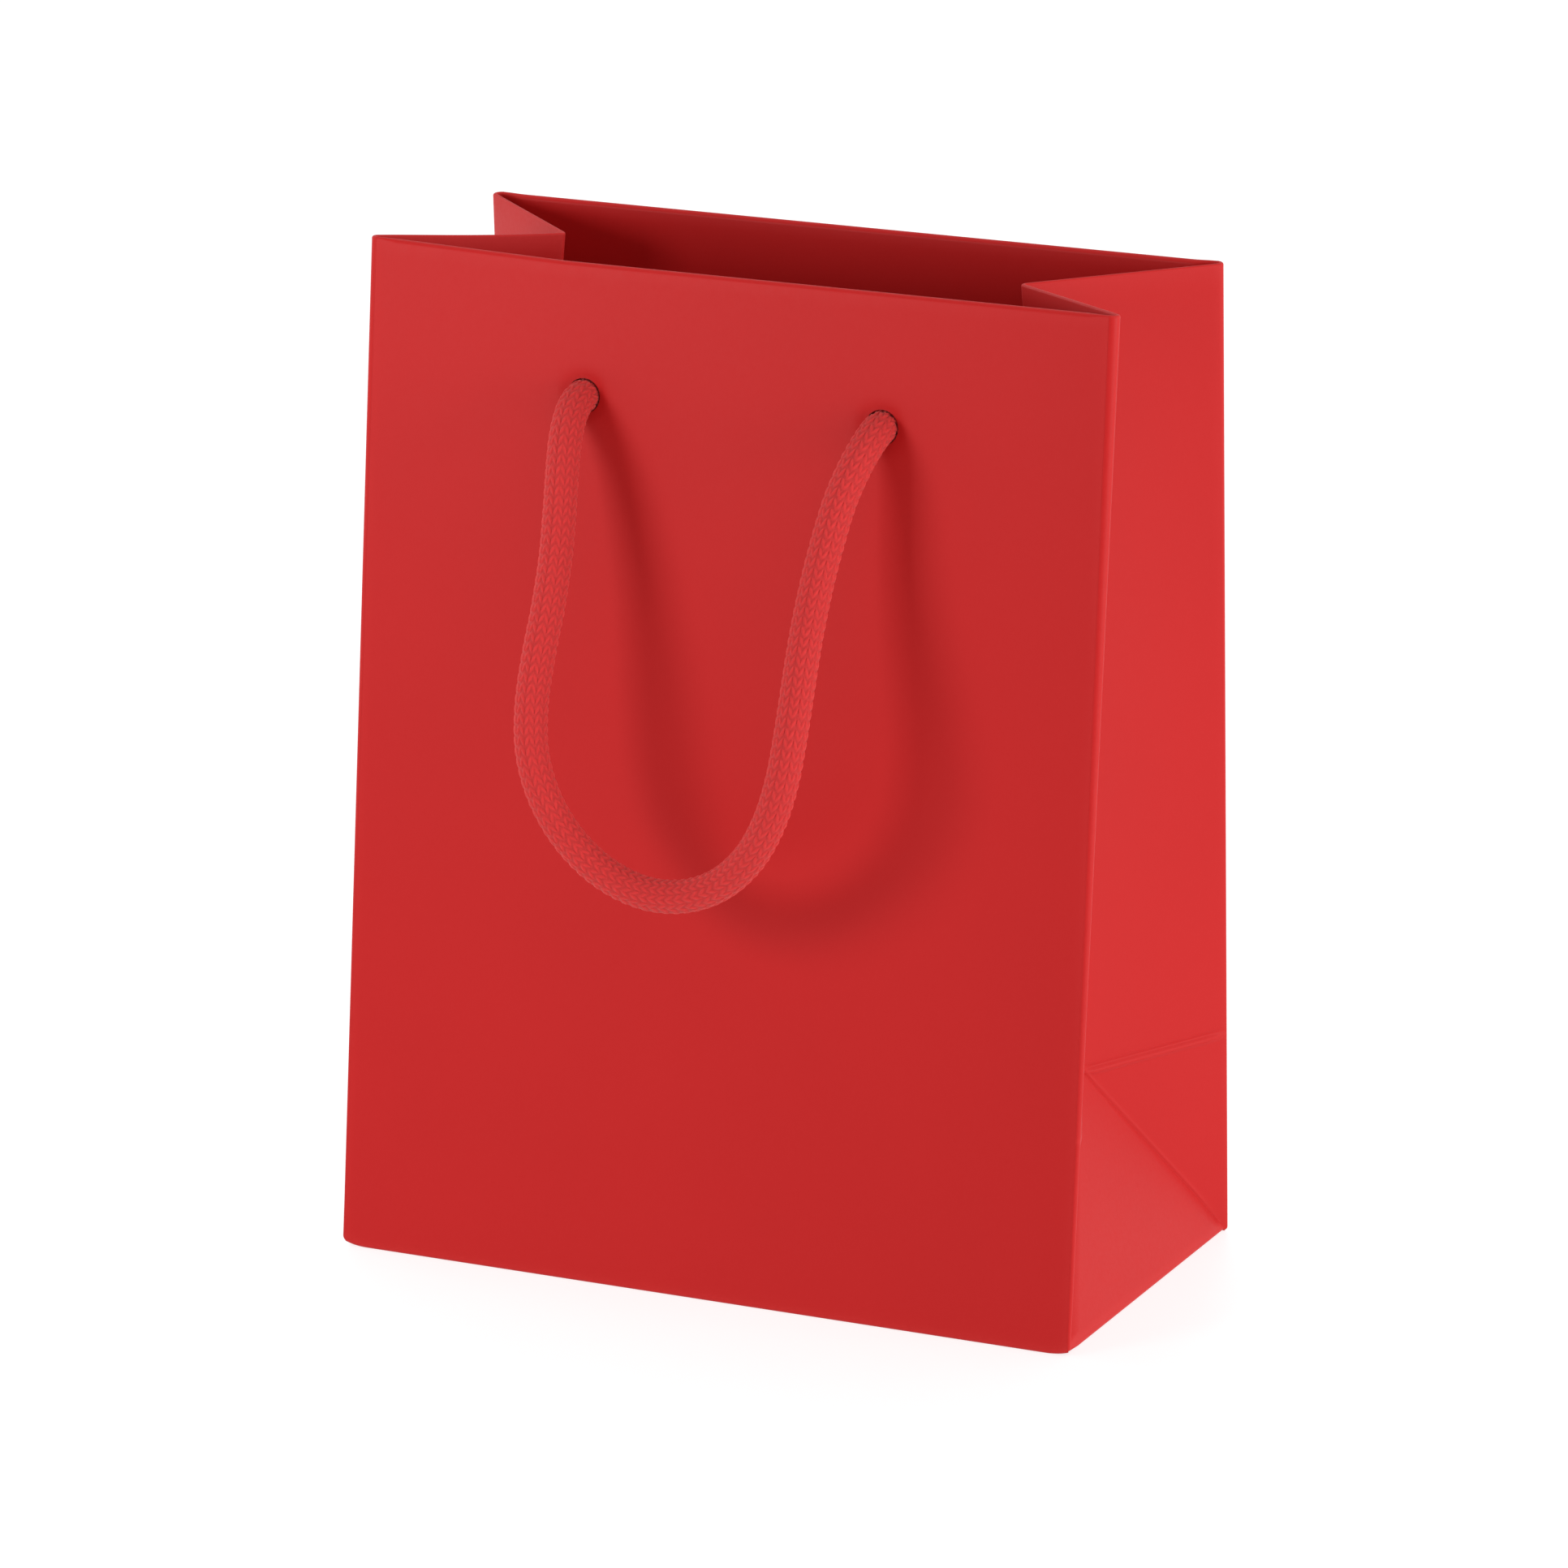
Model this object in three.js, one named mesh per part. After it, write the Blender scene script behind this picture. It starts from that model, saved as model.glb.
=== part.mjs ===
// Gift bag: a stiff laminated paper carrier with a satchel bottom, V-folded side gussets,
// card strips in its turned-in rim, a card in its base and two braided rope handles.
// Millimetres, +Z up, front panel towards -Y. The origin is the middle of the underside.
import * as THREE from 'three';

// ---- driving dimensions ----
const bagWidth = 180;
const bagDepth = 98;
const panelHeight = 232; // along the slope of the front and back panels
const mouthDepth = 65.4; // between the two rims, with the bag standing open
// Each gusset's middle fold, at its foot and at the rim: how far in from the bag's side, how far
// behind the middle as seen from that side, and how high. The paper isn't folded quite evenly.
const middleFolds = {
  right: { foot: [19.3, 3.4, 48.6], rim: [33.4, -3.2, 230.1] },
  left: { foot: [18.0, 1.0, 47.0], rim: [30.6, -3.0, 230.0] },
};

const paper = 0.35;
const gap = 0.3; // between pieces that touch
const creaseMargin = 0.8; // each face stops this far short of its creases
const foldMargin = 1.4; // a gusset stops this far short of the panel beside it
const cornerRadius = 1;

const hemHeight = 36;
const hemMargin = 4.5; // the turned-in paper stops this far short of the upright folds
const rimBoard = { height: 33, thickness: 0.8, margin: 6 };
const flapReach = 60; // how far each glued base flap reaches under the bag
const sideFlapReach = 52;
const baseBoard = { thickness: 1, clearance: 1.5 };
const seamTab = { width: 15, margin: 2 };

const rope = { diameter: 7.6, sides: 10, steps: 56 };
const hole = { spacing: 72, drop: 29.5, clearance: 0.3 };
const knot = { radius: 8, length: 12 };

// The right-hand leg of the front handle, from its hole down to the middle of the loop.
const ropeLeg = [
  [36.0, -37.3, 201.5],
  [35.6, -41.7, 199.2],
  [34.7, -46.3, 195.0],
  [33.4, -50.7, 188.6],
  [32.2, -54.6, 180.0],
  [31.3, -58.6, 170.4],
  [31.0, -63.0, 160.4],
  [31.2, -67.4, 150.4],
  [31.1, -71.0, 140.2],
  [30.0, -73.0, 130.2],
  [27.0, -73.2, 120.6],
  [21.8, -72.3, 111.8],
  [14.2, -71.3, 104.8],
  [4.9, -70.9, 101.0],
];

// ---- the shape of the open bag, worked out from those ----
const halfDepth = bagDepth / 2;
const lean = Math.asin((halfDepth - mouthDepth / 2) / panelHeight);
const insideOfBag = new THREE.Vector3(0, 0, panelHeight / 2);

/** A point on the outer skin of the upright fold on the right, at a distance up the slope. */
function foldPoint(face, slope) {
  const y = face * (halfDepth - slope * Math.sin(lean));
  return new THREE.Vector3(bagWidth / 2, y, slope * Math.cos(lean));
}

/** A point on a gusset's middle fold, with the gusset on the right. */
function middlePoint([inset, behind, height]) {
  return new THREE.Vector3(bagWidth / 2 - inset, behind, height);
}

// ---- solids ----
/** Signed volume of a closed mesh, positive when its faces point outwards. */
function signedVolume(points, triangles) {
  let sum = 0;
  for (const [a, b, c] of triangles) {
    sum += points[a].clone().cross(points[b]).dot(points[c]);
  }
  return sum / 6;
}

/** Shared vertices and triangles as a geometry whose faces point outwards. */
function closedGeometry(points, triangles) {
  const outward = signedVolume(points, triangles) > 0;
  const order = outward ? triangles : triangles.map(([a, b, c]) => [a, c, b]);
  const geometry = new THREE.BufferGeometry().setFromPoints(points);
  geometry.setIndex(order.flat());
  geometry.computeVertexNormals();
  return geometry;
}

/** Two triangles for the four corners of a cell, in order round it. */
function quad(a, b, c, d) {
  return [[a, b, c], [a, c, d]];
}

/**
 * A thin sheet over a surface pointAt(u, v), with u and v from 0 to 1.
 * Its outer side lies `near` inside the surface and its inner side lies `far` inside it.
 */
function curvedSheet(pointAt, near, far, uCount, vCount) {
  const points = [];
  const step = 1e-3;
  for (const depth of [near, far]) {
    for (let j = 0; j <= vCount; j++) {
      for (let i = 0; i <= uCount; i++) {
        const [u, v] = [i / uCount, j / vCount];
        const point = pointAt(u, v);
        const across = pointAt(u + step, v).sub(point);
        const up = pointAt(u, v + step).sub(point);
        const inward = across.cross(up).normalize();
        inward.multiplyScalar(Math.sign(inward.dot(insideOfBag.clone().sub(point))));
        points.push(point.addScaledVector(inward, depth));
      }
    }
  }
  const row = uCount + 1;
  const layer = row * (vCount + 1);
  const at = (i, j, k) => k * layer + j * row + i;
  const triangles = [];
  for (let j = 0; j < vCount; j++) {
    for (let i = 0; i < uCount; i++) {
      triangles.push(...quad(at(i, j, 0), at(i + 1, j, 0), at(i + 1, j + 1, 0), at(i, j + 1, 0)));
      triangles.push(...quad(at(i, j, 1), at(i, j + 1, 1), at(i + 1, j + 1, 1), at(i + 1, j, 1)));
    }
  }
  for (let i = 0; i < uCount; i++) {
    triangles.push(...quad(at(i, 0, 0), at(i, 0, 1), at(i + 1, 0, 1), at(i + 1, 0, 0)));
    triangles.push(...quad(at(i, vCount, 0), at(i + 1, vCount, 0), at(i + 1, vCount, 1), at(i, vCount, 1)));
  }
  for (let j = 0; j < vCount; j++) {
    triangles.push(...quad(at(0, j, 0), at(0, j + 1, 0), at(0, j + 1, 1), at(0, j, 1)));
    triangles.push(...quad(at(uCount, j, 0), at(uCount, j, 1), at(uCount, j + 1, 1), at(uCount, j + 1, 0)));
  }
  return closedGeometry(points, triangles);
}

/** The corners of a flat convex outline, each edge moved in by a margin. */
function insetCorners(corners, margin) {
  return corners.map((corner, n) => {
    const next = corners[(n + 1) % corners.length].clone().sub(corner).normalize();
    const last = corners[(n + corners.length - 1) % corners.length].clone().sub(corner).normalize();
    const sine = next.clone().cross(last).length();
    return corner.clone().addScaledVector(next.add(last), margin / sine);
  });
}

/** A flat convex sheet between two depths inside the bag's skin. */
function flatSheet(corners, near, far) {
  const [a, b, c] = corners;
  const inward = b.clone().sub(a).cross(c.clone().sub(a)).normalize();
  inward.multiplyScalar(Math.sign(inward.dot(insideOfBag.clone().sub(a))));
  const points = [near, far].flatMap((depth) => corners.map((p) => p.clone().addScaledVector(inward, depth)));
  const count = corners.length;
  const triangles = [];
  for (let n = 1; n < count - 1; n++) {
    triangles.push([0, n, n + 1], [count, count + n + 1, count + n]);
  }
  for (let n = 0; n < count; n++) {
    const next = (n + 1) % count;
    triangles.push(...quad(n, n + count, next + count, next));
  }
  return closedGeometry(points, triangles);
}

/** An outline in the front panel's plane: x across, y up the slope, with its two top corners rounded. */
function panelOutline(halfWidth, bottom, top, radius) {
  const outline = new THREE.Shape();
  outline.moveTo(-halfWidth, bottom);
  outline.lineTo(halfWidth, bottom);
  outline.lineTo(halfWidth, top - radius);
  outline.absarc(halfWidth - radius, top - radius, radius, 0, Math.PI / 2);
  outline.lineTo(-halfWidth + radius, top);
  outline.absarc(-halfWidth + radius, top - radius, radius, Math.PI / 2, Math.PI);
  return outline;
}

/** The two holes that the rope goes through. */
function addRopeHoles(outline) {
  for (const side of [-1, 1]) {
    const round = new THREE.Path();
    const radius = rope.diameter / 2 + hole.clearance;
    round.absarc((side * hole.spacing) / 2, panelHeight - hole.drop, radius, 0, 2 * Math.PI);
    outline.holes.push(round);
  }
  return outline;
}

/** A layer of the front wall, between two depths inside its outer face. */
function wallLayer(outline, near, far) {
  const geometry = new THREE.ExtrudeGeometry(outline, { depth: far - near, bevelEnabled: false, curveSegments: 8 });
  geometry.translate(0, 0, -far);
  geometry.rotateX(Math.PI / 2 - lean);
  geometry.translate(0, -halfDepth, 0);
  return geometry;
}

// ---- materials ----
/** A matt finish in one colour. */
function finish(colour, roughness) {
  return new THREE.MeshStandardMaterial({ color: colour, roughness, metalness: 0 });
}

const redPaper = () => finish(0xc92d2e, 0.55);
const hemPaper = () => finish(0x9c2224, 0.6);
const greyCard = () => finish(0x8d8a84, 0.85);
const redRope = () => finish(0xd23f40, 0.8);

/** A named piece. */
function piece(name, geometry, material) {
  const mesh = new THREE.Mesh(geometry, material);
  mesh.name = name;
  return mesh;
}

// ---- the front wall ----
const boardDepth = paper + gap;
const wallHemDepth = boardDepth + rimBoard.thickness + gap;
const wallThickness = wallHemDepth + paper;

/** The panel from the bottom crease to the rim. */
function panel() {
  const bottom = 0.1; // keeps the inner edge of the leaning sheet off the ground
  return wallLayer(addRopeHoles(panelOutline(bagWidth / 2, bottom, panelHeight, cornerRadius)), 0, paper);
}

/** The card strip that stiffens the rim. */
function rimCard() {
  const top = panelHeight - 1;
  const outline = panelOutline(bagWidth / 2 - rimBoard.margin, top - rimBoard.height, top, cornerRadius);
  return wallLayer(addRopeHoles(outline), boardDepth, boardDepth + rimBoard.thickness);
}

/** The paper turned in over the card strip. */
function wallHem() {
  const outline = panelOutline(bagWidth / 2 - hemMargin, panelHeight - hemHeight, panelHeight, cornerRadius);
  return wallLayer(addRopeHoles(outline), wallHemDepth, wallThickness);
}

/** A rope end's neck through the wall and the knot behind it, turned about the hole's axis. */
function knotSolid(side) {
  const neck = rope.diameter / 2;
  const start = wallThickness + gap;
  const profile = [new THREE.Vector2(0, 0), new THREE.Vector2(neck, 0), new THREE.Vector2(neck, start)];
  const middle = start + knot.length / 2;
  for (let n = 1; n <= 8; n++) {
    const turn = (n / 8) * (Math.PI - 0.6) + 0.6;
    profile.push(new THREE.Vector2(knot.radius * Math.sin(turn), middle - (knot.length / 2) * Math.cos(turn)));
  }
  profile[profile.length - 1].x = 0;
  const geometry = new THREE.LatheGeometry(profile, 16);
  geometry.translate((side * hole.spacing) / 2, 0, panelHeight - hole.drop);
  geometry.rotateX(-lean);
  geometry.translate(0, -halfDepth, 0);
  return geometry;
}

/** A plain tube along the whole handle, from hole to hole. */
function ropeHandle() {
  const right = ropeLeg.map(([x, y, z]) => new THREE.Vector3(x, y, z));
  const left = ropeLeg.map(([x, y, z]) => new THREE.Vector3(-x, y, z)).reverse();
  const route = new THREE.CatmullRomCurve3([...right, ...left]);
  const section = new THREE.Shape();
  for (let n = 0; n < rope.sides; n++) {
    const turn = (2 * Math.PI * n) / rope.sides;
    const [x, y] = [(rope.diameter / 2) * Math.cos(turn), (rope.diameter / 2) * Math.sin(turn)];
    if (n === 0) section.moveTo(x, y);
    else section.lineTo(x, y);
  }
  return new THREE.ExtrudeGeometry(section, { steps: rope.steps, extrudePath: route, bevelEnabled: false });
}

/** One wall's pieces; the back wall is the front one turned half round. */
function wall(name, turn) {
  const group = new THREE.Group();
  group.add(piece(`${name}_panel`, panel(), redPaper()));
  group.add(piece(`${name}_rim_board`, rimCard(), greyCard()));
  group.add(piece(`${name}_hem`, wallHem(), hemPaper()));
  group.add(piece(`${name}_rope_handle`, ropeHandle(), redRope()));
  for (const side of [-1, 1]) {
    const label = side * Math.cos(turn) > 0 ? 'right' : 'left';
    group.add(piece(`${name}_${label}_knot`, knotSolid(side), redRope()));
  }
  group.rotation.z = turn;
  return group;
}

// ---- a gusset, on the right ----
/** Part of one half of the gusset above its cross crease, as a function of u across it and v up it. */
function gussetHalf(face, fold, margins) {
  const outerEnds = [foldPoint(face, halfDepth), foldPoint(face, panelHeight)];
  const innerEnds = [middlePoint(fold.foot), middlePoint(fold.rim)];
  return (u, v) => {
    const rise = margins.bottom + v * (1 - margins.bottom - margins.top);
    const outer = outerEnds[0].clone().lerp(outerEnds[1], rise);
    const inner = innerEnds[0].clone().lerp(innerEnds[1], rise);
    const width = outer.distanceTo(inner);
    const start = margins.fold / width;
    const end = margins.end === undefined ? 1 - creaseMargin / width : margins.end / width;
    return outer.lerp(inner, start + u * (end - start));
  };
}

const gussetRise = panelHeight - halfDepth;

/** The half's outer paper, from the cross crease to the rim. */
function gussetPaper(face, fold) {
  const margins = { bottom: creaseMargin / gussetRise, top: 0, fold: foldMargin };
  return curvedSheet(gussetHalf(face, fold, margins), 0, paper, 4, 10);
}

/** The half's turned-in hem. */
function gussetHem(face, fold) {
  const margins = { bottom: 1 - hemHeight / gussetRise, top: 0, fold: hemMargin + 1 };
  return curvedSheet(gussetHalf(face, fold, margins), paper + gap, 2 * paper + gap, 4, 3);
}

/** The glued tab inside the bag's one upright seam. */
function seamStrip(face, fold) {
  const { margin, width } = seamTab;
  const margins = { bottom: 0.02, top: (hemHeight + 2) / gussetRise, fold: margin, end: margin + width };
  return curvedSheet(gussetHalf(face, fold, margins), paper + gap, 2 * paper + gap, 2, 8);
}

/** A triangle of the foot: in the middle, or at the front or back of it. */
function footTriangle(face, fold) {
  const bottom = (side) => foldPoint(side, 0);
  const corners = face === 0
    ? [bottom(-1), bottom(1), middlePoint(fold.foot)]
    : [bottom(face), foldPoint(face, halfDepth), middlePoint(fold.foot)];
  return flatSheet(insetCorners(corners, creaseMargin), 0, paper);
}

/** One gusset's pieces; the left gusset is the right one turned half round. */
function gusset(name, turn, seamFace) {
  const group = new THREE.Group();
  const fold = middleFolds[name];
  group.add(piece(`${name}_gusset_foot`, footTriangle(0, fold), redPaper()));
  for (const face of [-1, 1]) {
    const label = face * Math.cos(turn) > 0 ? 'back' : 'front';
    group.add(piece(`${name}_gusset_${label}_half`, gussetPaper(face, fold), redPaper()));
    group.add(piece(`${name}_gusset_${label}_foot`, footTriangle(face, fold), redPaper()));
    group.add(piece(`${name}_gusset_${label}_hem`, gussetHem(face, fold), hemPaper()));
    if (face === seamFace) group.add(piece('seam_tab', seamStrip(face, fold), redPaper()));
  }
  group.rotation.z = turn;
  return group;
}

// ---- the base ----
/** A long flap under the bag: a trapezium with its ends cut at 45 degrees. */
function longFlap(face, level) {
  const edge = halfDepth - creaseMargin;
  const corners = [
    [-bagWidth / 2 + 2 * creaseMargin, edge],
    [bagWidth / 2 - 2 * creaseMargin, edge],
    [bagWidth / 2 - flapReach, halfDepth - flapReach],
    [-bagWidth / 2 + flapReach, halfDepth - flapReach],
  ];
  return baseSheet(corners.map(([x, y]) => [x, face * y]), level, paper);
}

/** A short flap folded in from a gusset's bottom edge. */
function sideFlap(side, level) {
  const outer = side * (bagWidth / 2 - 2 * creaseMargin);
  const inner = side * (bagWidth / 2 - sideFlapReach);
  const half = halfDepth - 2 * creaseMargin;
  return baseSheet([[outer, -half], [outer, half], [inner, half], [inner, -half]], level, paper);
}

/** A level sheet with its underside at a height. */
function baseSheet(corners, height, thickness) {
  const outline = new THREE.Shape(corners.map(([x, y]) => new THREE.Vector2(x, y)));
  const geometry = new THREE.ExtrudeGeometry(outline, { depth: thickness, bevelEnabled: false });
  geometry.translate(0, 0, height);
  return geometry;
}

/** The folded flaps, one on the other, and the card that lies on them. */
function base() {
  const group = new THREE.Group();
  const layer = paper + gap;
  group.add(piece('base_flap_back', longFlap(1, 0), redPaper()));
  group.add(piece('base_flap_front', longFlap(-1, layer), redPaper()));
  group.add(piece('base_flap_right', sideFlap(1, 2 * layer), redPaper()));
  group.add(piece('base_flap_left', sideFlap(-1, 2 * layer), redPaper()));
  const [x, y] = [bagWidth / 2 - baseBoard.clearance - 1, halfDepth - baseBoard.clearance - 0.5];
  const board = baseSheet([[-x, -y], [x, -y], [x, y], [-x, y]], 3 * layer, baseBoard.thickness);
  group.add(piece('base_board', board, greyCard()));
  return group;
}

const giftBag = new THREE.Group();
giftBag.add(wall('front', 0));
giftBag.add(wall('back', Math.PI));
giftBag.add(gusset('right', 0, 0));
giftBag.add(gusset('left', Math.PI, -1));
giftBag.add(base());

export default giftBag;
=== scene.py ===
"""Red paper gift bag: folded paper walls, gussets, base, card and two braided rope handles.

Every piece is a surface worked out from a few named sizes, in metres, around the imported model.
"""

import math

import bpy
import numpy as np
from mathutils import Matrix, Vector


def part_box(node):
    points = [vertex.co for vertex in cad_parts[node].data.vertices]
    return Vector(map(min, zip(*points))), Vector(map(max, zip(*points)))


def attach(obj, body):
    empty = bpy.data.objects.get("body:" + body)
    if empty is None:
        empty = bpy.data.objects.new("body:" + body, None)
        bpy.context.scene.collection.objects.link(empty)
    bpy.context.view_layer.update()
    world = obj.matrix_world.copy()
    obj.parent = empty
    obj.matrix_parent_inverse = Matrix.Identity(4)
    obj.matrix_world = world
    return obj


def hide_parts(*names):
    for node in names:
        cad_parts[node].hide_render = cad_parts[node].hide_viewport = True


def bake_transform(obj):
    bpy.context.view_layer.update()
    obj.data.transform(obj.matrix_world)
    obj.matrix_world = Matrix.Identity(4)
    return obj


bl_info = {
    "name": "Gift Bag",
    "version": (1, 0, 0),
    "blender": (4, 5, 0),
    "location": "3D View > Sidebar > Gift Bag",
    "description": "Makes a red paper gift bag with braided rope handles around its packed model",
    "category": "Object",
}

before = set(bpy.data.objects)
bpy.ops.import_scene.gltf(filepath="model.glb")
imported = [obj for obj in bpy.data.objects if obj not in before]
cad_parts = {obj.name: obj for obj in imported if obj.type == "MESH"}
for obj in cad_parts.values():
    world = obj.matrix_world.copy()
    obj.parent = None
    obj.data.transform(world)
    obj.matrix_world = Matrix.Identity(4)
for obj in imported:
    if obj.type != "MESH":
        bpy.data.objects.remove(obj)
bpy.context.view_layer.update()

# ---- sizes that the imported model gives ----
PANEL_LOW, PANEL_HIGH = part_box("front_panel")
HALF_WIDTH = float(PANEL_HIGH[0])
HALF_DEPTH = -float(PANEL_LOW[1])
RIM_HEIGHT = float(PANEL_HIGH[2])
MOUTH_DEPTH = 0.0654
LEAN = math.atan((HALF_DEPTH - MOUTH_DEPTH / 2) / RIM_HEIGHT)
PANEL_LENGTH = RIM_HEIGHT / math.cos(LEAN)

PAPER = 0.00035
CORNER_LIFT = 0.0022  # how high the two front bottom corners are pressed up
CORNER_ROUND = 0.0068  # how far from the corner the foot begins to rise
LIFT_HEIGHT = 0.014  # how far up the side that is felt
HOLE_SPACING = 0.072
HOLE_UP = PANEL_LENGTH - 0.0295  # the holes' height up the wall's slope
WALL_THICKNESS = 0.0021

# Each gusset's middle fold, seen with the gusset on the right: how far in from the bag's side,
# how far behind the middle and how high, at its foot and at the rim.
MIDDLE_FOLDS = {
    "right": {"foot": (0.0193, 0.0034, 0.0486), "rim": (0.0334, -0.0032, 0.2301)},
    "left": {"foot": (0.0180, 0.0010, 0.0470), "rim": (0.0306, -0.0030, 0.2300)},
}

# The right-hand leg of the front handle, from its hole down to the middle of the loop.
ROPE_LEG = [
    (0.0360, -0.0373, 0.2015),
    (0.0356, -0.0417, 0.1992),
    (0.0347, -0.0463, 0.1950),
    (0.0334, -0.0507, 0.1886),
    (0.0322, -0.0546, 0.1800),
    (0.0313, -0.0586, 0.1704),
    (0.0310, -0.0630, 0.1604),
    (0.0312, -0.0674, 0.1504),
    (0.0311, -0.0710, 0.1402),
    (0.0300, -0.0730, 0.1302),
    (0.0270, -0.0732, 0.1206),
    (0.0218, -0.0723, 0.1118),
    (0.0142, -0.0713, 0.1048),
    (0.0049, -0.0709, 0.1010),
]


# ---- settings that a user may change ----
def number(name, description, default, unit="LENGTH"):
    """A number with its unit."""
    return bpy.props.FloatProperty(name=name, description=description, default=default, unit=unit)


def colour(name, description, default):
    """A colour."""
    return bpy.props.FloatVectorProperty(
        name=name, description=description, default=default, size=3, min=0, max=1, subtype="COLOR")


class GiftBagPaper(bpy.types.PropertyGroup):
    """The folded paper."""

    fold_radius_foot: number(
        "Upright Fold Radius at the Foot",
        "How tightly the four upright folds are creased at the ground", 0.0004)
    fold_radius_rim: number(
        "Upright Fold Radius at the Rim",
        "How tightly the four upright folds are creased at the rim", 0.0017)
    middle_fold_radius: number(
        "Middle Fold Radius", "How tightly each gusset's middle fold is creased", 0.0008)
    hem_height: number("Hem Height", "How far the paper is turned in below the rim", 0.036)
    sheet_colour: colour("Paper Colour", "Colour of the laminated paper", (0.445, 0.0100, 0.0098))
    # Paler red for the fibre flecks, and along the folds for wear mixed with a painted highlight
    fleck_wear_and_highlight_colour: colour(
        "Crease Colour", "Colour of the paper where it is creased", (0.50, 0.022, 0.021))


class GiftBagRope(bpy.types.PropertyGroup):
    """The braided rope of the handles."""

    diameter: number("Rope Diameter", "Thickness of the rope, over its stitches", 0.0076)
    columns: bpy.props.IntProperty(
        name="Stitch Columns", description="How many columns of stitches go round the rope",
        default=10, min=4, max=16)
    pitch: number("Stitch Pitch", "Length of one stitch along the rope", 0.0022)
    relief: number("Stitch Relief", "How deep the grooves between the stitches are", 0.00042)
    yarn_colour: colour("Rope Colour", "Colour of the yarn", (0.54, 0.0110, 0.0108))
    strand_colour: colour(
        "Strand Colour", "Colour of the yarn's palest strands", (0.66, 0.045, 0.042))


class GiftBagStudio(bpy.types.PropertyGroup):
    """The camera, the lights and the surroundings."""

    azimuth: number(
        "Camera Azimuth", "How far the camera has gone round the bag, from straight in front",
        math.radians(23.93), "ROTATION")
    elevation: number(
        "Camera Elevation", "How far above the horizon the camera is",
        math.radians(15.42), "ROTATION")
    roll: number(
        "Camera Roll", "How far the camera is turned about its own line of sight",
        math.radians(0.5), "ROTATION")
    distance: number("Camera Distance", "From the camera to the middle of the bag", 1.826)
    lens: number("Focal Length", "Focal length on a 36 mm sensor", 184.63, "NONE")
    key_power: number("Key Light", "Power of the small light at the front left", 2.35, "POWER")
    side_power: number("Side Light", "Power of the broad light on the right", 16.5, "POWER")
    left_power: number("Left Light", "Power of the broad light on the left", 4.5, "POWER")
    dim_surround: number(
        "Dim Surround", "Brightness of the surroundings on the front left", 0.16, "NONE")
    bright_surround: number(
        "Bright Surround", "Brightness of the surroundings everywhere else", 1.0, "NONE")


# ---- numbers and grids ----
def smoothstep(value, start, end):
    """3t^2 - 2t^3 of how far value has come from start to end: 0 before start and 1 after end."""
    share = np.clip((np.asarray(value, float) - start) / (end - start), 0, 1)
    return share * share * (3 - 2 * share)


def joined(*spans):
    """Ascending numbers: (start, end, count) spans one after another, each point held once."""
    parts = [np.linspace(start, end, count, endpoint=False) for start, end, count in spans]
    return np.concatenate(parts + [[spans[-1][1]]])


def grid_faces(rows, columns, closed=False):
    """Quads over points kept row by row; closed joins each row's last point to its first."""
    row = np.arange(rows - 1)[:, None]
    column = np.arange(columns if closed else columns - 1)[None, :]
    following = (column + 1) % columns
    a, b = row * columns + column, row * columns + following
    return np.stack([a, b, b + columns, a + columns], axis=-1).reshape(-1, 4)


def point_normals(points, faces):
    """The normal at each point: the sum of the cross products of its faces' diagonals."""
    corners = points[faces]
    crossed = np.cross(corners[:, 2] - corners[:, 0], corners[:, 3] - corners[:, 1])
    normals = np.zeros_like(points)
    for corner in range(4):
        np.add.at(normals, faces[:, corner], crossed)
    lengths = np.linalg.norm(normals, axis=1, keepdims=True)
    return normals / np.maximum(lengths, 1e-12)


def half_turned(points, turned=True):
    """Points turned half round about the bag's upright axis, or left alone."""
    return points * np.array([-1.0, -1.0, 1.0]) if turned else points


def thickened(points, faces, thickness):
    """Both skins of a sheet: each point moved half the thickness either way along its normal.

    Every edge that only one face uses gets a strip between the skins.
    """
    normals = point_normals(points, faces)
    skins = np.concatenate([points + normals * thickness / 2, points - normals * thickness / 2])
    count = len(points)
    start, end = faces.ravel(), np.roll(faces, -1, axis=1).ravel()
    used = np.isin(start * count + end, end * count + start)
    a, b = start[~used], end[~used]
    strips = np.stack([b, a, a + count, b + count], axis=1)
    return skins, np.concatenate([faces, faces[:, ::-1] + count, strips])


# ---- meshes ----
def new_piece(name, points, faces, sharp_angle=35):
    """An object at the origin with these points and faces, smooth except at sharp angles."""
    mesh = bpy.data.meshes.new(name)
    mesh.from_pydata(points.tolist(), [], faces)
    mesh.validate()
    mesh.polygons.foreach_set("use_smooth", np.ones(len(mesh.polygons), bool))
    mesh.set_sharp_from_angle(angle=math.radians(sharp_angle))
    mesh.update()
    piece = bpy.data.objects.new(name, mesh)
    bpy.context.scene.collection.objects.link(piece)
    return piece


def keep_values(piece, name, values):
    """Keeps one number per point under a name that the materials read."""
    layer = piece.data.attributes.new(name, "FLOAT", "POINT")
    layer.data.foreach_set("value", np.asarray(values, np.float32))


def pressed_corners(points):
    """Points lifted off the ground at the bag's front bottom corners, by a quarter of an ellipse.

    The lift depends on the way to the corner along the bag's foot, and fades out up the side.
    """
    way = HALF_WIDTH - np.abs(points[:, 0]) + HALF_DEPTH - np.abs(points[:, 1])
    near = np.clip(1 - way / CORNER_ROUND, 0, 1)
    lift = CORNER_LIFT * (1 - np.sqrt(1 - near ** 2))
    lift = lift * (1 - smoothstep(points[:, 2], 0.0, LIFT_HEIGHT)) * (points[:, 1] < 0)
    return points + lift[:, None] * np.array([0.0, 0.0, 1.0])


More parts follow.
